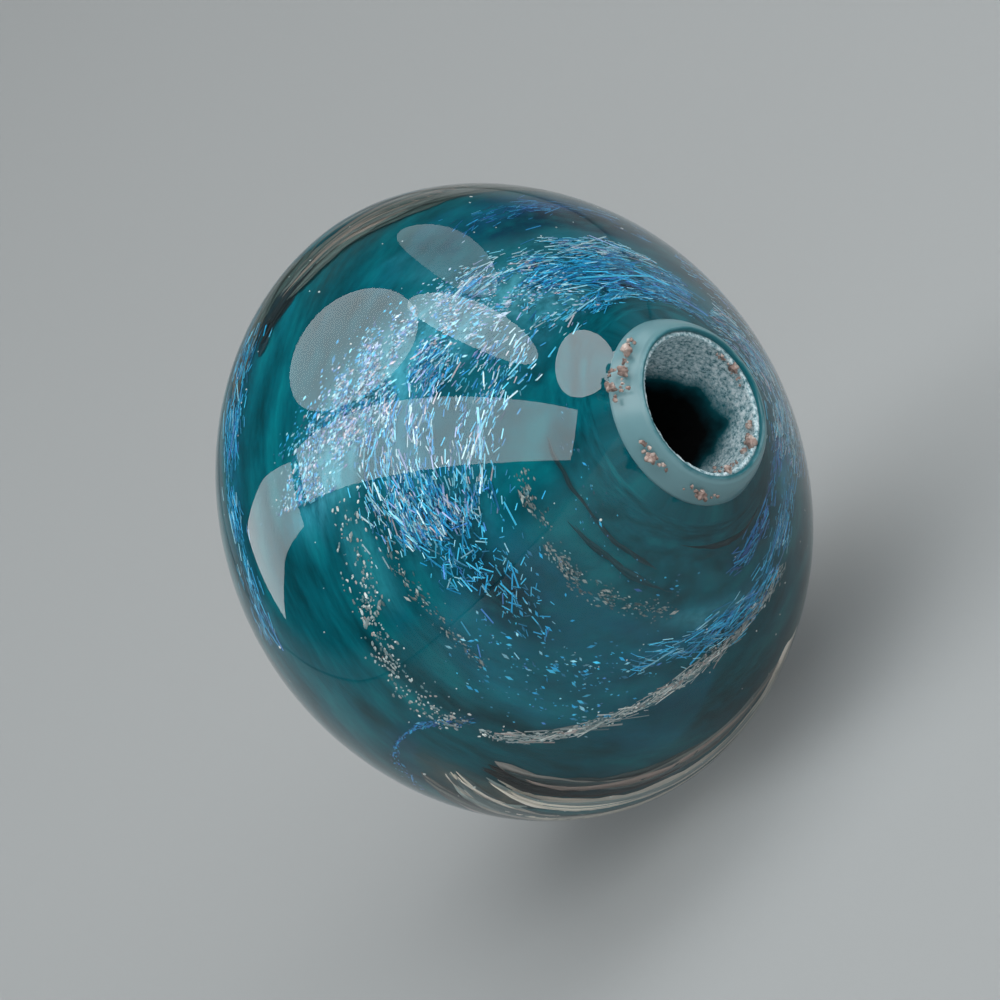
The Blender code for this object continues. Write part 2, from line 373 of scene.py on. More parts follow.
# Painted light that each mix sheds on the teal around it: its colour and how strongly
glows = {
    "ice": ("#3C9CB4", 0.55),
    "lilac": ("#5CB0BE", 0.75),
    "azure": ("#147A9C", 0.5),
    "cyan": ("#06607C", 0.2),
    "blue": ("#064C78", 0.3),
}

# Each trail follows its path of (azimuth, colatitude) points and is so many degrees wide. wander is
# how far its flakes turn from the path, and grain names their shape.
trails = {
    "shoulder_ribbon_front": (
        {"wide": 4.8, "count": 3000, "mix": "lilac", "grain": "chip",
         "path": ((-88, 38), (-70, 45), (-56, 53), (-44, 61), (-33, 70), (-24, 78))},
        {"wide": 5.0, "count": 1900, "mix": "ice", "grain": "chip",
         "path": ((-64, 50), (-49, 58), (-36, 68), (-26, 76), (-18, 86))},
        {"wide": 4.6, "count": 1500, "mix": "ice", "grain": "needle",
         "path": ((-48, 52), (-32, 58), (-18, 61), (-8, 61), (-1, 60))},
        {"wide": 3.5, "count": 620, "mix": "ice", "grain": "needle",
         "path": ((-80, 34), (-55, 37), (-32, 43), (-14, 49), (0, 53))},
        {"wide": 4.0, "count": 420, "mix": "cyan", "grain": "chip",
         "path": ((-58, 62), (-44, 68), (-34, 76), (-28, 84))},
        {"wide": 3.6, "count": 300, "mix": "azure", "grain": "needle", "wander": 40,
         "path": ((-14, 58), (-4, 59), (4, 58), (12, 57))},
        {"wide": 4.5, "count": 150, "mix": "azure", "grain": "needle", "wander": 30,
         "path": ((-8, 47), (8, 51), (20, 54), (34, 56))},
        {"wide": 1.0, "count": 380, "mix": "tan", "grain": "chip",
         "path": ((-8, 39.5), (10, 41.5), (30, 43), (46, 42), (68, 40))},
        {"wide": 0.9, "count": 150, "mix": "tan", "grain": "chip",
         "path": ((-12, 68), (2, 69.5), (14, 68), (28, 68.5))},
        {"wide": 1.6, "count": 90, "mix": "cyan", "grain": "chip",
         "path": ((-30, 27), (-8, 28.5), (8, 29), (30, 35), (50, 37), (76, 35))},
        {"wide": 4.0, "count": 170, "mix": "azure", "grain": "chip",
         "path": ((20, 66), (34, 61), (50, 57), (66, 54))},
        {"wide": 2.5, "count": 70, "mix": "azure", "grain": "chip",
         "path": ((28, 72), (40, 70), (52, 66), (60, 62))},
        {"wide": 6.0, "count": 70, "mix": "azure", "grain": "glint",
         "path": ((-6, 50), (12, 52), (30, 55), (48, 60), (60, 62))},
    ),
    "shoulder_ribbon_over": (
        {"wide": 2.6, "count": 1500, "mix": "azure", "grain": "streak",
         "path": ((-140, 34), (-122, 35), (-100, 37), (-78, 41))},
        {"wide": 1.4, "count": 380, "mix": "azure", "grain": "streak",
         "path": ((-150, 28), (-120, 29), (-100, 29.5), (-82, 29))},
        {"wide": 1.8, "count": 480, "mix": "ice", "grain": "streak",
         "path": ((-128, 41), (-105, 43.5), (-85, 47), (-62, 52))},
        {"wide": 0.3, "count": 170, "mix": "cyan", "grain": "chip",
         "path": ((-104, 29.5), (-96, 27.5), (-89, 29.5), (-96, 31.5), (-104, 29.5))},
        {"wide": 2.2, "count": 170, "mix": "blue", "grain": "streak",
         "path": ((-136, 55), (-116, 60), (-100, 61), (-84, 62))},
    ),
    "shoulder_ribbon_under": (
        {"wide": 1.8, "count": 600, "mix": "azure", "grain": "streak",
         "path": ((58, 51), (80, 46.5), (100, 43.5), (125, 39), (154, 37))},
        {"wide": 1.0, "count": 240, "mix": "blue", "grain": "streak",
         "path": ((92, 34), (110, 32.5), (130, 31), (154, 32))},
    ),
    "shoulder_ribbon_rear": (
        {"wide": 5.0, "count": 1300, "mix": "ice", "grain": "needle",
         "path": ((148, 36), (168, 41), (188, 39), (208, 33))},
        {"wide": 4.0, "count": 500, "mix": "cyan", "grain": "needle",
         "path": ((150, 52), (172, 58), (196, 56), (216, 50))},
    ),
    "waist_ribbon_front": (
        {"wide": 2.2, "count": 560, "mix": "azure", "grain": "streak",
         "path": ((-60, 103), (-44, 107), (-22, 111), (2, 115))},
        {"wide": 0.8, "count": 260, "mix": "blue", "grain": "chip",
         "path": ((36, 80), (31, 88), (30, 96), (34, 105), (46, 112))},
    ),
    "waist_ribbon_rear": (
        {"wide": 6.0, "count": 1900, "mix": "ice", "grain": "needle",
         "path": ((106, 104), (150, 113), (192, 116), (236, 106))},
    ),
    "far_end_ribbon": (
        {"wide": 5.5, "count": 1500, "mix": "cyan", "grain": "needle",
         "path": ((-112, 136), (-60, 142), (0, 143), (66, 139))},
    ),
    "strand_front": (
        {"wide": 2.0, "count": 420, "mix": "pearl", "grain": "crumb",
         "path": ((-16, 74), (0, 79), (12, 83), (25, 85), (35, 83))},
    ),
    "strand_under": (
        {"wide": 0.5, "count": 520, "mix": "pearl", "grain": "crumb",
         "path": ((38, 81), (47, 76.5), (55, 69), (70, 58), (82, 51.5), (100, 46.5), (117, 44.5))},
        {"wide": 0.6, "count": 420, "mix": "pearl", "grain": "streak",
         "path": ((42, 79), (50, 73.5), (60, 65), (74, 56), (88, 50), (104, 46), (120, 44.5))},
    ),
}
grains = {
    "streak": {"length": 0.24 * mm, "width": 0.016 * mm, "thickness": 0.010 * mm, "spread": 0.55},
    "needle": {"length": 0.15 * mm, "width": 0.019 * mm, "thickness": 0.010 * mm, "spread": 0.5},
    "chip": {"length": 0.062 * mm, "width": 0.034 * mm, "thickness": 0.012 * mm, "spread": 0.5},
    "glint": {"length": 0.11 * mm, "width": 0.05 * mm, "thickness": 0.012 * mm, "spread": 0.45},
    "crumb": {"length": 0.058 * mm, "width": 0.038 * mm, "thickness": 0.035 * mm, "spread": 0.55},
}
flake = {
    "lift": (0.02 * mm, 0.34 * mm),  # over the core
    "tilt": 24,
    "wander": 14,
    "tries": 6,  # at finding a place inside a clump
    "clumps": (0.11, 0.38),  # a degree of azimuth and one of colatitude, in noise
    "clumpEdge": (-0.5, 0.3),
}


def smoothPath(points, place):
    # a smooth curve through the points, place from 0 to 1
    spans = len(points) - 1
    i = min(int(place * spans), spans - 1)
    t = place * spans - i
    p0, p1, p2, p3 = (points[min(max(j, 0), spans)] for j in (i - 1, i, i + 1, i + 2))
    return tuple(
        0.5 * (2 * b + (c - a) * t + (2 * a - 5 * b + 4 * c - d) * t**2 + (3 * b - a - 3 * c + d) * t**3)
        for a, b, c, d in zip(p0, p1, p2, p3)
    )


def shapePoints(bm):
    bmesh.ops.triangulate(bm, faces=bm.faces)
    points = np.array([v.co[:] for v in bm.verts])
    faces = np.array([[v.index for v in f.verts] for f in bm.faces])
    bm.free()
    return points, faces


def grainShape(kind):
    bm = bmesh.new()
    if kind in ("needle", "streak"):
        bmesh.ops.create_cube(bm, size=1.0)
    else:
        around, levels = (5, 3) if kind == "crumb" else (4, 2)
        bmesh.ops.create_uvsphere(bm, u_segments=around, v_segments=levels, radius=0.55)
    return shapePoints(bm)


def joinShapes(name, shapes):
    # one mesh of several runs of copies: each run is (points of every copy, faces, tint of every copy)
    spots, links, tints, first = [], [], [], 0
    for points, faces, colours in shapes:
        copies, each = points.shape[:2]
        links.append((faces[None] + each * np.arange(copies)[:, None, None] + first).reshape(-1, 3))
        spots.append(points.reshape(-1, 3))
        tints.append(np.repeat(np.array(colours), each, axis=0))
        first += copies * each
    mesh = bpy.data.meshes.new(name)
    mesh.from_pydata(np.concatenate(spots), [], np.concatenate(links))
    tint = mesh.color_attributes.new("tint", "FLOAT_COLOR", "POINT")
    tint.data.foreach_set("color", np.concatenate(tints).ravel())
    return mesh


def coloursOf(mix):
    # each colour as many times as its share
    return [hexColour(code) for code, share in mix for _ in range(share)]


def pickTint(rng, colours, low=0.5, high=1.15):
    shade = rng.uniform(low, high)
    return [min(c * shade, 1.0) for c in rng.choice(colours)[:3]] + [1.0]


def scatterTrail(trail, rng):
    colours = coloursOf(mixes[trail["mix"]])
    wander = trail.get("wander", flake["wander"])
    clumpTurn, clumpRise = flake["clumps"]
    grain = grains[trail["grain"]]
    points, faces = grainShape(trail["grain"])
    matrices, tints = [], []
    for _ in range(trail["count"]):
        for _ in range(flake["tries"]):
            place = rng.betavariate(1.3, 1.3)
            azimuth, colatitude = smoothPath(trail["path"], place)
            offset = rng.gauss(0, trail["wide"])
            colatitude += offset
            clump = noise.noise(Vector((azimuth * clumpTurn, colatitude * clumpRise, 3.7)))
            if trail["wide"] < 1 or clump > rng.uniform(*flake["clumpEdge"]):
                break
        ahead = smoothPath(trail["path"], min(place + 0.01, 1.0))
        behind = smoothPath(trail["path"], max(place - 0.01, 0.0))
        lift = rng.uniform(*flake["lift"])
        here = corePoint(azimuth, colatitude, lift)
        flow = corePoint(ahead[0], ahead[1] + offset, lift) - corePoint(behind[0], behind[1] + offset, lift)
        outward = (corePoint(azimuth, colatitude, lift + mm) - here).normalized()
        flow = (flow - outward * flow.dot(outward)).normalized()
        flow = Matrix.Rotation(math.radians(rng.gauss(0, wander)), 3, outward) @ flow
        outward = Matrix.Rotation(math.radians(rng.gauss(0, flake["tilt"])), 3, flow) @ outward
        size = rng.lognormvariate(0, grain["spread"])
        length = flow * grain["length"] * size
        width = outward.cross(flow) * grain["width"] * size**0.5
        matrices.append(np.column_stack([length, width, outward * grain["thickness"], here]))
        tints.append(pickTint(rng, colours))
    matrices = np.array(matrices)
    spots = np.einsum("nij,kj->nki", matrices[:, :, :3], points) + matrices[:, None, :, 3]
    return spots, faces, tints


def dichroicFlake():
    # Dichroic glass: flakes of clear glass with a mirror coat of metal oxides, so each glints blue to violet
    return tintedMaterial("dichroicFlake", {"Metallic": 0.35, "Roughness": 0.35})


def scumGrain():
    # Ash and tiny bubbles caught under the casing: matte, off-white to pink
    return tintedMaterial("scumGrain", {"Roughness": 0.6, "Specular IOR Level": 0.2})


def makeTrails():
    rng = random.Random(21)
    flakeMaterial, grainMaterial = dichroicFlake(), scumGrain()
    for node, group in trails.items():
        mesh = joinShapes(node, [scatterTrail(trail, rng) for trail in group])
        matte = group[0]["grain"] == "crumb"
        name = node + "_flakes"
        layDown(mesh, name, grainMaterial if matte else flakeMaterial, [node], smooth=False)
        print(name, len(mesh.polygons), "faces")


makeTrails()

# Sheets of burnt silver foil, drawn out into streaks between the core and the casing
streaks = {
    # The cream tints are the foil's beige painted paler: painted light on foils that lie in shade under the
    # bead
    "creamAndPaintedLight": (("#F6EEE0", 5), ("#E0D8C8", 5), ("#BDB8AE", 4), ("#8FA09E", 3), ("#55686A", 2)),
    "grey": (("#6E7672", 4), ("#8C8B86", 2), ("#4F5C5C", 4), ("#9C8C84", 1), ("#334648", 4)),
    "dim": (("#4A5B58", 4), ("#566461", 4), ("#5F6966", 3), ("#736C65", 1), ("#384E4C", 3)),
    "dark": (("#0B1E22", 3), ("#0C1517", 3), ("#052A32", 2)),
    "seam": (("#012C33", 2), ("#01363E", 2)),
    "window": (("#00505A", 3), ("#016A72", 2)),
}
foils = {
    "foil_top": (
        {"wide": 5.0, "count": 190, "mix": "dim",
         "path": ((-134, 78), (-112, 79), (-95, 82), (-80, 90), (-64, 99))},
        {"wide": 1.0, "count": 20, "mix": "grey",
         "path": ((-98, 81), (-86, 86), (-76, 92), (-66, 98))},
        {"wide": 1.2, "count": 22, "mix": "dark",
         "path": ((-84, 88), (-74, 93), (-62, 98), (-52, 101))},
        {"wide": 2.0, "count": 30, "mix": "dim",
         "path": ((-80, 99), (-66, 103), (-54, 106), (-44, 108))},
    ),
    "foil_under": (
        {"wide": 1.8, "count": 90, "mix": "creamAndPaintedLight",
         "path": ((42, 99), (56, 103), (74, 102), (94, 95), (120, 79))},
        {"wide": 1.6, "count": 46, "mix": "grey",
         "path": ((40, 105), (56, 108), (78, 107), (100, 99))},
        {"wide": 1.6, "count": 64, "mix": "creamAndPaintedLight",
         "path": ((48, 94), (62, 96), (80, 93), (100, 84), (124, 72))},
        {"wide": 1.6, "count": 40, "mix": "grey",
         "path": ((46, 88), (58, 88), (76, 84), (96, 76), (116, 69))},
        {"wide": 1.3, "count": 44, "mix": "dark",
         "path": ((45, 91), (56, 91), (70, 88), (88, 82))},
        {"wide": 1.1, "count": 34, "mix": "window",
         "path": ((60, 99), (78, 97), (94, 91), (108, 84))},
        {"wide": 0.6, "count": 16, "mix": "creamAndPaintedLight",
         "path": ((98, 83), (108, 78.5), (118, 73.5), (126, 70))},
    ),
    "foil_rear": (
        {"wide": 4.0, "count": 110, "mix": "creamAndPaintedLight",
         "path": ((136, 75), (160, 79), (184, 82), (220, 80))},
        {"wide": 2.4, "count": 34, "mix": "dark",
         "path": ((140, 84), (165, 88), (190, 90), (218, 86))},
    ),
}
streak = {
    "rings": 16,
    "length": (0.22, 0.75),  # as a share of its path
    "width": 0.14 * mm,
    "thickness": 0.012 * mm,
    "lift": (0.02 * mm, 0.20 * mm),  # over the core
    "wave": 0.9,  # degrees
}


def streakShape():
    # a square bar, cut across so that it can bend
    bm = bmesh.new()
    bmesh.ops.create_cone(bm, cap_ends=True, segments=4, radius1=1.0, radius2=1.0, depth=1.0)
    bmesh.ops.rotate(bm, verts=bm.verts, cent=(0, 0, 0), matrix=Matrix.Rotation(math.pi / 4, 3, "Z"))
    for i in range(1, streak["rings"]):
        cut = Vector((0, 0, i / streak["rings"] - 0.5))
        everything = bm.verts[:] + bm.edges[:] + bm.faces[:]
        bmesh.ops.bisect_plane(bm, geom=everything, plane_co=cut, plane_no=(0, 0, 1))
    bm.verts.index_update()
    return shapePoints(bm)


def scatterStreaks(foil, rng, breadth=1.0):
    points, faces = streakShape()
    colours = coloursOf(streaks[foil["mix"]])
    copies, tints = [], []
    for _ in range(foil["count"]):
        length = rng.uniform(*streak["length"])
        start = (1 - length) * rng.betavariate(0.9, 0.9)
        offset = rng.gauss(0, foil["wide"] * 0.6)
        width = breadth * streak["width"] * rng.lognormvariate(0, 0.5)
        lift = rng.uniform(*streak["lift"])
        seed = rng.uniform(0, 50)
        spots = []
        for across, up, along in points:
            place = min(max(start + length * (along + 0.5), 0.0), 1.0)
            azimuth, colatitude = smoothPath(foil["path"], place)
            taper = max(math.sin(math.pi * (along + 0.5)), 0.02) ** 0.9
            wave = noise.noise(Vector((azimuth * 0.09, seed, 0))) * streak["wave"]
            fray = 1 + 0.5 * noise.noise(Vector((azimuth * 0.25, seed, across)))
            side = across * width * taper * fray
            colatitude += offset * (0.55 + 0.45 * taper) + wave + math.degrees(side / coreRadius)
            spots.append(corePoint(azimuth, colatitude, lift + up * streak["thickness"]))
        copies.append(spots)
        tints.append(pickTint(rng, colours, 0.75, 1.05))
    return np.array(copies), faces, tints


def burntFoil():
    # Fine silver foil burnt in the flame and drawn out: beige to grey, with a soft metal sheen
    return tintedMaterial("burntFoil", {"Metallic": 0.1, "Roughness": 0.6, "Specular IOR Level": 0.2})


def makeFoils():
    rng = random.Random(8)
    material = burntFoil()
    for node, group in foils.items():
        mesh = joinShapes(node, [scatterStreaks(foil, rng) for foil in group])
        layDown(mesh, node + "_streaks", material, [node])
    print("foils are drawn out")


makeFoils()

core = {
    "rings": 180,
    "steps": 320,
    "wobble": 0.05 * mm,
    "wobbleSize": 2.6 * mm,
    "collar": 3.1 * mm,  # inside this radius the teal rises to the surface, up against the lip
    "deep": "#00323A",
    "teal": "#004C57",
    "bright": "#02666F",
    "flow": (2.2, 0.11),  # noise round the core and for each degree along it, so streaks follow the winding
    "sweep": 18,  # degrees that the streaks are drawn along in the middle of the front
    "sweepMiddle": (8, 62),
    "sweepSize": (48, 34),
}
glowing = {
    "steps": 32,  # along each trail
    "full": 350,  # flakes on each degree of a trail's width that glow most
    "spread": 1.2,  # times the trail's width
    "most": 0.8,
}
# Deeper and paler places of the core: middle and half size in degrees, tint and how strongly
patches = (
    ((20, 55), (24, 9), "#000D12", 0.95),
    ((46, 58), (18, 9), "#013540", 0.4),
    ((88, 64), (34, 8), "#023038", 0.85),
    ((-118, 57), (38, 12), "#00161E", 0.95),
    ((-94, 55), (16, 5), "#04203A", 0.8),
    ((-104, 62), (20, 3), "#0A4478", 0.7),
    ((-156, 46), (28, 9), "#00191E", 0.9),
    ((-76, 62), (9, 7), "#02262E", 0.7),
    ((-70, 86), (10, 5), "#02262E", 0.6),
    ((84, 43), (26, 3.0), "#5AA9AE", 0.5),
    ((40, 67), (26, 5), "#06707A", 0.5),
    ((-2, 76), (12, 4), "#1A8480", 0.5),
    ((40, 46), (30, 2.5), "#01242B", 0.6),
    ((-81, 68), (16, 6), "#033E44", 0.6),
    ((-72, 106), (24, 6), "#4E6668", 0.4),
    ((-100, 86), (36, 10), "#3C504E", 0.85),
    ((66, 101), (30, 5.5), "#8E8B7E", 0.85),
    ((100, 86), (24, 6), "#5E6A66", 0.55),
    ((54, 90), (9, 3), "#07191C", 0.9),
    ((82, 94), (14, 3), "#045A68", 0.9),
    ((178, 80), (40, 7), "#7B776C", 0.6),
)


def turnFrom(azimuths, azimuth):
    return (azimuths - azimuth + 180) % 360 - 180


def glowOf(azimuths, colatitudes):
    # painted blue glow of the trails on the teal, with the patches over it: (tint, how much of it)
    colour = np.zeros((len(azimuths), 3))
    amount = np.zeros(len(azimuths))
    for trail in (trail for group in trails.values() for trail in group if trail["mix"] in glows):
        code, strength = glows[trail["mix"]]
        nearest = np.full(len(azimuths), np.inf)
        for i in range(glowing["steps"] + 1):
            azimuth, colatitude = smoothPath(trail["path"], i / glowing["steps"])
            across = turnFrom(azimuths, azimuth) * np.sin(np.radians(colatitudes))
            nearest = np.minimum(nearest, np.hypot(across, colatitudes - colatitude))
        density = min(trail["count"] / (trail["wide"] * glowing["full"]), 1.0)
        weight = strength * density * np.exp(-((nearest / (glowing["spread"] * trail["wide"])) ** 2))
        colour += weight[:, None] * np.array(hexColour(code)[:3])
        amount += weight
    colour /= np.maximum(amount, 1e-6)[:, None]
    amount = np.minimum(amount, glowing["most"])
    for (azimuth, colatitude), (wide, tall), code, strength in patches:
        far = (turnFrom(azimuths, azimuth) / wide) ** 2 + ((colatitudes - colatitude) / tall) ** 2
        weight = strength * np.exp(-(far**1.5))
        colour = colour * (1 - weight)[:, None] + weight[:, None] * np.array(hexColour(code)[:3])
        amount = np.maximum(amount, weight)
    return colour, amount


def paintCore(mesh):
    co = np.zeros(len(mesh.vertices) * 3)
    mesh.vertices.foreach_get("co", co)
    co = co.reshape(-1, 3)
    azimuths = np.degrees(np.arctan2(co[:, 0], -co[:, 1]))
    height = np.clip(np.abs(co[:, 2]) / coreHalfLength, 0, 1)
    colatitudes = np.degrees(np.arccos(height ** (bead["coreExponent"] / 2)))
    colatitudes = np.where(co[:, 2] < 0, 180 - colatitudes, colatitudes)
    colour, amount = glowOf(azimuths, colatitudes)
    glow = mesh.color_attributes.new("glow", "FLOAT_COLOR", "POINT")
    glow.data.foreach_set("color", np.column_stack([colour, np.ones(len(amount))]).ravel())
    share = mesh.attributes.new("glowShare", "FLOAT", "POINT")
    share.data.foreach_set("value", np.clip(amount, 0, 1))
    (middleTurn, middleRise), (wide, tall) = core["sweepMiddle"], core["sweepSize"]
    sweep = core["sweep"] * np.exp(-(((azimuths - middleTurn) / wide) ** 2))
    sweep *= np.exp(-(((colatitudes - middleRise) / tall) ** 2))
    around, along = core["flow"]
    turn = np.radians(azimuths)
    places = (np.sin(turn) * around, -np.cos(turn) * around, (colatitudes - sweep) * along)
    flow = mesh.attributes.new("flow", "FLOAT_VECTOR", "POINT")
    flow.data.foreach_set("vector", np.column_stack(places).ravel())


def tealGlass():
    # Teal soda-lime glass, wound hot: dense colour with drawn-out streaks and darker seams between wraps.
    # It is fused to the clear glass over it, so its surface has no shine of its own.
    material = newMaterial("tealGlass", {"Roughness": 0.6, "Specular IOR Level": 0.0})
    tree = material.node_tree
    flow = addNode(tree, "ShaderNodeAttribute", attribute_name="flow").outputs["Vector"]
    glow = addNode(tree, "ShaderNodeAttribute", attribute_name="glow").outputs["Color"]
    glowShare = addNode(tree, "ShaderNodeAttribute", attribute_name="glowShare").outputs["Fac"]
    bands = addNoise(tree, flow, scale=1.3, detail=6.0, roughness=0.6)
    teal = addRamp(tree, bands, ((0.3, core["deep"]), (0.5, core["teal"]), (0.72, core["bright"])))
    mottle = addNoise(tree, flow, scale=5.0, detail=8.0, roughness=0.7)
    patchy = addRange(tree, mottle, (0.34, 0.6), (0.35, 1.0))
    share = addMath(tree, "MULTIPLY", glowShare, patchy)
    # the trails' painted glow and the patches, mixed over the teal
    colourBy(material, addMix(tree, share, teal, glow))
    return material


def surfaceHeight(radius):
    # height of the clear surface over a point this far from the bore axis
    exponent = bead["formExponent"]
    return glassHalfLength * (1 - min(radius / glassRadius, 1.0) ** exponent) ** (1 / exponent)


def makeCore():
    outline = []
    for angle in ringAngles(footprintRadius, coreForm, core["rings"]):
        r, h = formPoint(angle, *coreForm)
        rise = min(max((core["collar"] - r) / (core["collar"] - footprintRadius), 0.0), 1.0)
        target = math.copysign(surfaceHeight(r) - bead["skin"], h)
        outline.append((r, h + (target - h) * rise * rise * (3 - 2 * rise)))
    bm = spin(outline, core["steps"])
    for point in bm.verts:
        if math.hypot(point.co.x, point.co.y) > core["collar"]:
            push = noise.noise(point.co / core["wobbleSize"]) * core["wobble"]
            point.co += point.co.normalized() * push
    mesh = toMesh(bm, "tealCore")
    paintCore(mesh)
    wraps = ["core_wrap_mouth", "core_wrap_middle", "core_wrap_far"]
    layDown(mesh, "tealCore", tealGlass(), wraps)
    print("teal core is wound")


makeCore()

lip = {
    "steps": 192,
    "wobble": 0.022 * mm,
    "wobbleSize": 0.9 * mm,
    "boreRadius": coatRadius + 0.04 * mm,
    "crestRadius": 1.82 * mm,
    "round": 0.06 * mm,
    "sunk": 0.12 * mm,
    "flankRings": 12,
    "bulge": 0.05 * mm,
    "crestRings": 8,
    # the pale from the crest outwards is the clay's haze with a painted reflection of the lights
    "haze": (1.66 * mm, 1.74 * mm),  # from the bore axis, where it begins and where it's full
    "hazeAndReflectionRagged": 0.16 * mm,
    "tones": ((0.0, "#065A64"), (0.7, "#56838B"), (1.0, "#658B92")),
}


def acrossBore(tree, spot, operation):
    # the part of a place that's square to the bore: its LENGTH, or its direction by NORMALIZE
    flat = addNode(tree, "ShaderNodeVectorMath", {0: spot, 1: (0.0, 1.0, 1.0)}, operation="MULTIPLY")
    return addNode(tree, "ShaderNodeVectorMath", {0: flat.outputs["Vector"]}, operation=operation)


def lipGlass():
    # Teal glass with a skin of clear, fire polished, and pale grey from its crest outwards: the clay's haze
    # and a painted reflection of the lights
    material = newMaterial("lipGlass", {"Roughness": 0.28, "IOR": 1.52})
    tree = material.node_tree
    spot = addNode(tree, "ShaderNodeTexCoord").outputs["Object"]
    cloud = addNoise(tree, spot, scale=2500.0, detail=5.0, roughness=0.6)
    ragged = addMath(tree, "MULTIPLY", cloud, lip["hazeAndReflectionRagged"])
    distance = acrossBore(tree, spot, "LENGTH").outputs["Value"]
    haze = addRange(tree, addMath(tree, "SUBTRACT", distance, ragged), lip["haze"])
    colourBy(material, addRamp(tree, haze, lip["tones"]))
    return material


def lipOutline():
    # from the bore wall out under the glass, up the sloping flank and over the crest into the bore
    foot = surfaceHeight(lipRadius)
    outline = [
        (lip["boreRadius"], foot - lip["sunk"]),
        (lipRadius * 0.985, foot - lip["sunk"]),
        (lipRadius, foot + bead["skin"]),
    ]
    slope = Vector((lip["crestRadius"] - lipRadius, lipCrest - foot))
    for i in range(1, lip["flankRings"]):
        place = i / lip["flankRings"]
        bulge = lip["bulge"] * math.sin(math.pi * place)
        outline.append((lipRadius + slope.x * place + bulge, foot + slope.y * place + bulge * 0.5))
    reach = (lip["crestRadius"] - lip["boreRadius"]) / 2
    for i in range(lip["crestRings"] + 1):
        turn = math.radians(20 + 160 * i / lip["crestRings"])
        height = lipCrest - lip["round"] + lip["round"] * math.sin(turn)
        outline.append((lip["boreRadius"] + reach + reach * math.cos(turn), height))
    return outline


def makeLips():
    material = lipGlass()
    for name, node, side in (("lipMouth", "lip_mouth", 1), ("lipFar", "lip_far", -1)):
        bm = spin([(r, side * h) for r, h in lipOutline()], lip["steps"])
        for point in bm.verts:
            push = noise.noise(point.co / lip["wobbleSize"] + Vector((side * 4, 0, 0))) * lip["wobble"]
            point.co += point.co.normalized() * (push - lip["wobble"] * 0.6)
        layDown(toMesh(bm, name), name, material, [node])
    print("lips are rolled")


makeLips()

coat = {
    "steps": 320,
    "rings": 150,
    "thickness": 0.06 * mm,
    "grain": 0.03 * mm,
    "grainSize": 0.09 * mm,
    "inset": 0.12 * mm,  # of its ends from the crests of the lips
    "edge": (5.2 * mm, 6.8 * mm),  # from the bead's middle, where bare glass turns to pale clay
    "ragged": 1.2 * mm,
    "thinSide": (0.0, 0.777, -0.629),  # the side of the bore where the pale clay reaches least deep
    "deeper": 1.2 * mm,  # by which it reaches deeper everywhere else
    "clay": ((0.34, "#2A626C"), (0.48, "#98B6BE"), (0.62, "#D2E0E4")),
    # painted shade: the uncoated glass goes from teal to near black deeper in the bore
    "bareShaded": ((0.0, "#000203"), (0.28, "#012F36"), (0.55, "#08606B"), (1.0, "#0C6470")),
}


def clayCoat():
    # Bead release, a clay and alumina wash baked on the mandrel: dry, pale and granular near the mouth,
    # reamed out further in, where the dark teal of the footprint shows through, with painted shade darkening
    # it to near black deep in the bore
    material = newMaterial("clayCoat", {"Roughness": 0.9, "Specular IOR Level": 0.2})
    tree = material.node_tree
    spot = addNode(tree, "ShaderNodeTexCoord").outputs["Object"]
    clay = addRamp(tree, addNoise(tree, spot, scale=11000.0, detail=4.0, roughness=0.7), coat["clay"])
    along = addNode(tree, "ShaderNodeSeparateXYZ", {"Vector": spot}).outputs["X"]
    depth = addMath(tree, "ABSOLUTE", along)
    ragged = addMath(tree, "MULTIPLY", addNoise(tree, spot, scale=1400.0, detail=3.0), coat["ragged"])
    toWall = acrossBore(tree, spot, "NORMALIZE").outputs["Vector"]
    sides = {0: toWall, 1: coat["thinSide"]}
    facing = addNode(tree, "ShaderNodeVectorMath", sides, operation="DOT_PRODUCT").outputs["Value"]
    deeper = addRange(tree, facing, (0.5, 1.0), (coat["deeper"], 0.0))
    place = addMath(tree, "ADD", addMath(tree, "ADD", depth, ragged), deeper)
    zone = addRange(tree, place, coat["edge"])
    bareShaded = addRamp(tree, zone, coat["bareShaded"])
    colourBy(material, addMix(tree, addRange(tree, zone, (0.42, 0.8)), bareShaded, clay))
    return material


def makeCoat():
    reach = lipCrest - coat["inset"]
    outer, inner = lip["boreRadius"] + bead["skin"], coatRadius - coat["thickness"]
    outline = [(inner, -reach + 2 * reach * i / coat["rings"]) for i in range(coat["rings"] + 1)]
    outline += [(outer, reach), (outer, -reach)]
    bm = spin(outline, coat["steps"])
    for point in bm.verts:
        out = Vector((point.co.x, point.co.y, 0))
        if out.length < inner * 1.01:
            rough = noise.fractal(point.co / coat["grainSize"], 0.7, 2.0, 3)
            point.co += out.normalized() * rough * coat["grain"]
    layDown(toMesh(bm, "boreCoat"), "boreCoat", clayCoat(), ["release_coat"])
    print("clay coat lines the bore")


makeCoat()


def makeFootprint():
    # the CAD's own tube stays, between the coat and the core
    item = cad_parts["core_footprint"]
    values = {"Base Color": hexColour(core["teal"]), "Roughness": 0.5, "Specular IOR Level": 0.0}
    item.data.materials.clear()
    item.data.materials.append(newMaterial("tealTube", values))


makeFootprint()

crumb = {
    "count": 8,
    "lumps": 0.9,
    "grains": 13,  # beside the large one of each crumb
    "grainRadius": (0.2, 0.5),  # of the large one's
    "scatter": 0.32 * mm,
    "tones": ((0.3, "#5A4C48"), (0.5, "#958179"), (0.68, "#C6BAB2")),
}


def crumbClay():
    # Baked clay broken off with the mandrel: pinkish tan, matte
    material = newMaterial("crumbClay", {"Roughness": 0.8})
    tree = material.node_tree
    spot = addNode(tree, "ShaderNodeTexCoord").outputs["Object"]
    colourBy(material, addRamp(tree, addNoise(tree, spot, scale=6000.0, detail=3.0), crumb["tones"]))
    return material


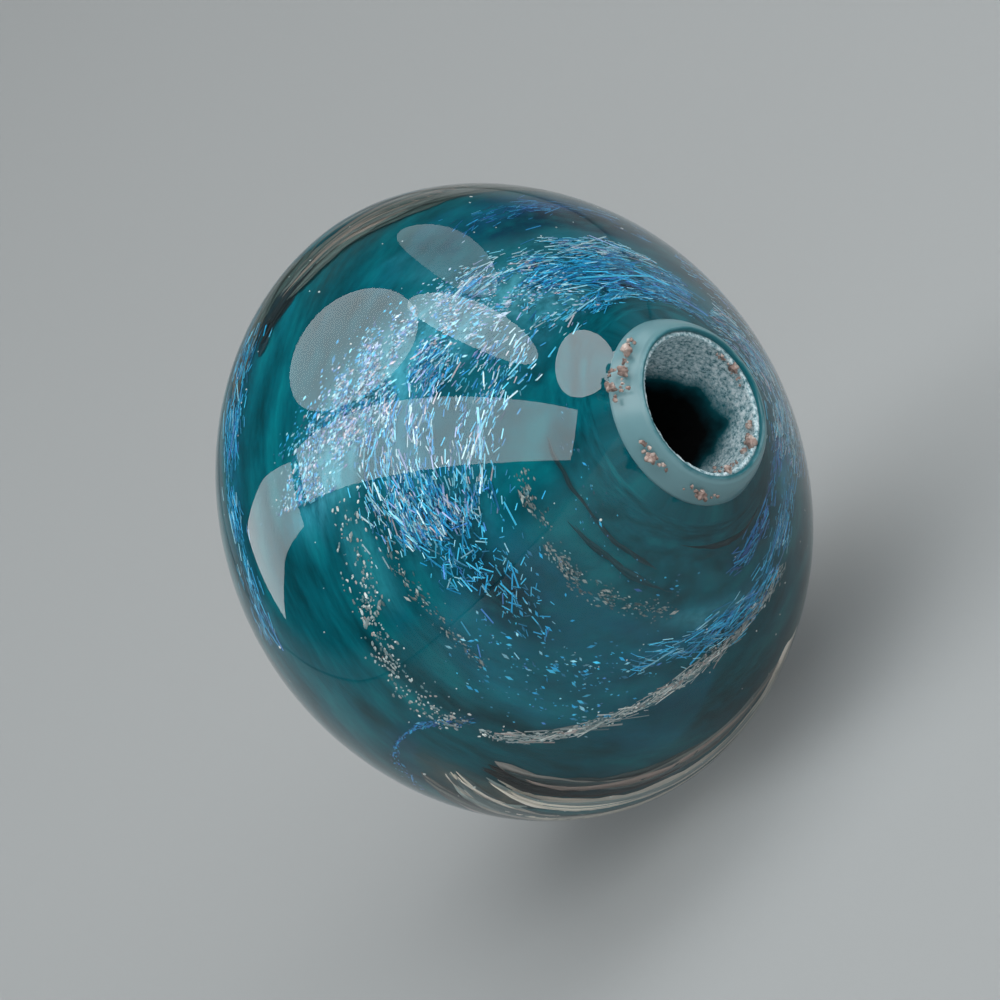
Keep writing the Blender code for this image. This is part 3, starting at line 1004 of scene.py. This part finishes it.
def makeCrumbs():
    rng = random.Random(4)
    material = crumbClay()
    for number in range(1, crumb["count"] + 1):
        node = f"release_crumb_{number}"
        low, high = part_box(node)
        middle = layMatrix.inverted() @ ((low + high) / 2)
        size = (high.x - low.x) / 2
        bearing = math.atan2(middle.y, middle.x)
        radius = math.hypot(middle.x, middle.y)
        bm = bmesh.new()
        for i in range(crumb["grains"] + 1):
            small = size * (rng.uniform(*crumb["grainRadius"]) if i else 1.0)
            turn = bearing + (rng.uniform(-1, 1) * crumb["scatter"] / radius * 1.6 if i else 0.0)
            slide = rng.uniform(-0.3, 0.3) * crumb["scatter"] if i else 0.0
            out = radius - (size - small) * 0.8 - slide * 0.4
            height = middle.z - (size - small) * 0.5 + slide
            place = Vector((out * math.cos(turn), out * math.sin(turn), height))
            made = bmesh.ops.create_icosphere(bm, subdivisions=2 if i else 3, radius=small)["verts"]
            for point in made:
                lump = noise.noise(point.co / (small * 0.75) + Vector((number * 5 + i, 0, 0)))
                point.co = point.co * (1 + crumb["lumps"] * lump) + place
        layDown(toMesh(bm, f"crumb{number}"), f"crumb{number}", material, [node])
    print("crumbs are on the lip")


makeCrumbs()

# Seams between the wraps of the core, and dust and tiny bubbles in the casing
seams = (
    {"wide": 0.12, "count": 4, "mix": "seam",
     "path": ((-20, 33), (4, 32), (30, 32.5), (58, 34))},
    {"wide": 0.12, "count": 3, "mix": "seam",
     "path": ((10, 36.5), (34, 36), (52, 37), (78, 37))},
    {"wide": 0.12, "count": 3, "mix": "seam",
     "path": ((36, 27), (70, 28), (100, 29), (134, 27))},
)
seamBreadth = 0.35  # of the width of a streak
dust = {
    "count": 260,
    "radius": (0.010 * mm, 0.024 * mm),
    "lift": (0.05 * mm, 0.8 * mm),  # over the core
    "ends": 0.92,  # cosine of the colatitude beyond which there is none
}


def makeSeamsAndDust():
    rng = random.Random(33)
    mesh = joinShapes("seams", [scatterStreaks(seam, rng, seamBreadth) for seam in seams])
    layDown(mesh, "wrapSeams", scumGrain(), [])
    bm = bmesh.new()
    bmesh.ops.create_icosphere(bm, subdivisions=1, radius=1.0)
    points, faces = shapePoints(bm)
    copies, tints = [], []
    for _ in range(dust["count"]):
        colatitude = math.degrees(math.acos(rng.uniform(-dust["ends"], dust["ends"])))
        lift = rng.uniform(*dust["lift"]) * math.sin(math.radians(colatitude))
        place = np.array(corePoint(rng.uniform(-180, 180), colatitude, lift))
        copies.append(points * rng.uniform(*dust["radius"]) * rng.choice((1, 1, 1.6)) + place)
        tints.append(pickTint(rng, [hexColour("#D8DEDC")], 0.6, 1.0))
    mesh = joinShapes("dust", [(np.array(copies), faces, tints)])
    layDown(mesh, "casingDust", scumGrain(), [])
    print("seams and dust are in the glass")


makeSeamsAndDust()

casing = {"rings": 160, "steps": 320, "wobble": 0.035 * mm, "wobbleSize": 4.5 * mm}


def clearGlass():
    # Clear soda-lime glass, fire polished in the flame: smooth, with a slow wave in its surface
    values = {"Base Color": hexColour("#FAFEFE"), "Roughness": 0.0, "IOR": 1.52, "Transmission Weight": 1.0}
    return newMaterial("clearGlass", values)


def makeCasing():
    inner = footprintRadius - bead["gap"]
    outline = [formPoint(angle, *glassForm) for angle in ringAngles(inner, glassForm, casing["rings"])]
    bm = spin(outline, casing["steps"])
    for point in bm.verts:
        if math.hypot(point.co.x, point.co.y) > inner * 1.05:
            push = noise.noise(point.co / casing["wobbleSize"] + Vector((7.3, 1.1, 0))) * casing["wobble"]
            point.co += point.co.normalized() * (push - casing["wobble"] * 0.5)
    mesh = toMesh(bm, "clearCasing")
    piece = layDown(mesh, "clearCasing", clearGlass(), ["clear_casing"])
    piece.visible_shadow = False  # lets the lamps reach the core through the glass


makeCasing()
print("casing is on")
